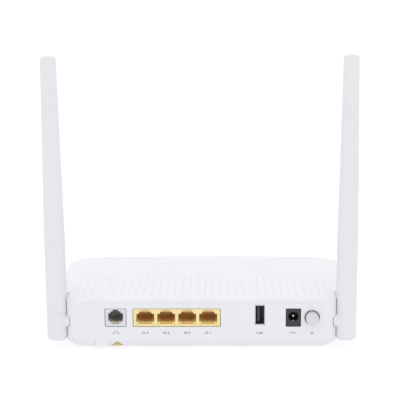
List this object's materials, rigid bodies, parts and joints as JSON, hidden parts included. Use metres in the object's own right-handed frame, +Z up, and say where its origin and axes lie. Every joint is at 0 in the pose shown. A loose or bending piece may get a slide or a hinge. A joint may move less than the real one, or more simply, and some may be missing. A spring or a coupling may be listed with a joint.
{
  "type": "optical network terminal",
  "caption": "Flat white fibre terminal and wireless router with two folding upright antennas, a row of sockets on its rear wall and a dashed vent pattern on its top.",
  "frame": {"origin": "on the supporting surface, under the middle of the whole object's box", "axes": "+Z up, -Y towards the viewer of the connectors, +Y towards the indicator lights, +X to the right when facing the connectors"},
  "size_m": [0.2074, 0.1446, 0.1945],
  "materials": {
    "white_case": "fine satin texture",
    "white_cover": "fine satin texture",
    "white_antenna": "smooth satin",
    "grey_cap": "satin",
    "rubber": "matte",
    "screw_steel": "zinc plated",
    "label_film": "satin film",
    "warning_film": "printed film",
    "print_grey": "printed ink",
    "phone_plastic": "satin",
    "lan_plastic": "moulded, slightly glossy",
    "contact_gold": "gold plated",
    "socket_shell": "nickel plated",
    "black_plastic": "satin",
    "dark_grey_plastic": "satin",
    "nickel": "nickel plated",
    "board_green": "solder resist",
    "chip_black": "moulded epoxy",
    "pad_blue": "soft gap filler",
    "sink_aluminium": "extruded",
    "shield_tin": "tin plated",
    "capacitor_can": "sleeved can",
    "ferrite": "sintered",
    "port_green": "moulded",
    "ferrule_white": "polished ceramic",
    "led_white": "moulded",
    "guide_clear": "clear acrylic",
    "lead_grey": "jacketed coaxial lead",
    "strip_board": "copper on laminate"
  },
  "bodies": {
    "case": {"top_cover": "white_cover", "bottom_case": "white_case", "rubber_feet": "rubber", "case_screws": "screw_steel", "rating_plate": "label_film", "fibre_sticker": "warning_film", "wall_marks": "print_grey", "phone_jack": "phone_plastic", "phone_contacts": "contact_gold", "lan_jacks": "lan_plastic", "lan_contacts": "contact_gold", "usb_shell": "socket_shell", "usb_tongue": "black_plastic", "dc_jack": "dark_grey_plastic", "dc_pin": "nickel", "dc_spring": "nickel", "power_switch": "dark_grey_plastic", "push_switches": "black_plastic", "main_board": "board_green", "processor": "chip_black", "thermal_pad": "pad_blue", "heat_sink": "sink_aluminium", "memory_chips": "chip_black", "radio_chip": "chip_black", "radio_shield": "shield_tin", "crystals": "shield_tin", "lan_transformers": "chip_black", "line_chip": "chip_black", "capacitors": "capacitor_can", "inductors": "ferrite", "optical_module": "nickel", "fibre_adapter": "port_green", "fibre_ferrule": "ferrule_white", "indicator_leds": "led_white", "light_guide": "guide_clear", "lead_plugs": "contact_gold", "antenna_lead_left": "lead_grey", "antenna_lead_right": "lead_grey"},
    "antenna_left": {"antenna_sleeve_left": "white_antenna", "antenna_knuckle_left": "white_antenna", "hinge_barrel_left": "nickel", "hinge_washer_left": "nickel", "hinge_clip_left": "nickel", "radiator_left": "strip_board"},
    "antenna_right": {"antenna_sleeve_right": "white_antenna", "antenna_knuckle_right": "white_antenna", "hinge_barrel_right": "nickel", "hinge_washer_right": "nickel", "hinge_clip_right": "nickel", "radiator_right": "strip_board"},
    "power_button": {"power_button": "grey_cap", "power_plunger": "black_plastic"},
    "radio_button": {"radio_button": "grey_cap"},
    "pairing_button": {"pairing_button": "grey_cap"}
  },
  "joints": [
    {"name": "antenna_left_fold", "type": "hinge", "parent": "case", "child": "antenna_left", "pos_m": [-0.0969, -0.0607, 0.0185], "axis": [1, 0, 0], "range_deg": [0, 90]},
    {"name": "antenna_right_fold", "type": "hinge", "parent": "case", "child": "antenna_right", "pos_m": [0.0969, -0.0607, 0.0185], "axis": [1, 0, 0], "range_deg": [0, 90]},
    {"name": "power_press", "type": "slide", "parent": "case", "child": "power_button", "axis": [0, 1, 0], "range_m": [0, 0.0026], "stiffness_N_per_m": 900},
    {"name": "radio_press", "type": "slide", "parent": "case", "child": "radio_button", "axis": [-1, 0, 0], "range_m": [0, 0.0006], "stiffness_N_per_m": 1200},
    {"name": "pairing_press", "type": "slide", "parent": "case", "child": "pairing_button", "axis": [-1, 0, 0], "range_m": [0, 0.0006], "stiffness_N_per_m": 1200}
  ]
}
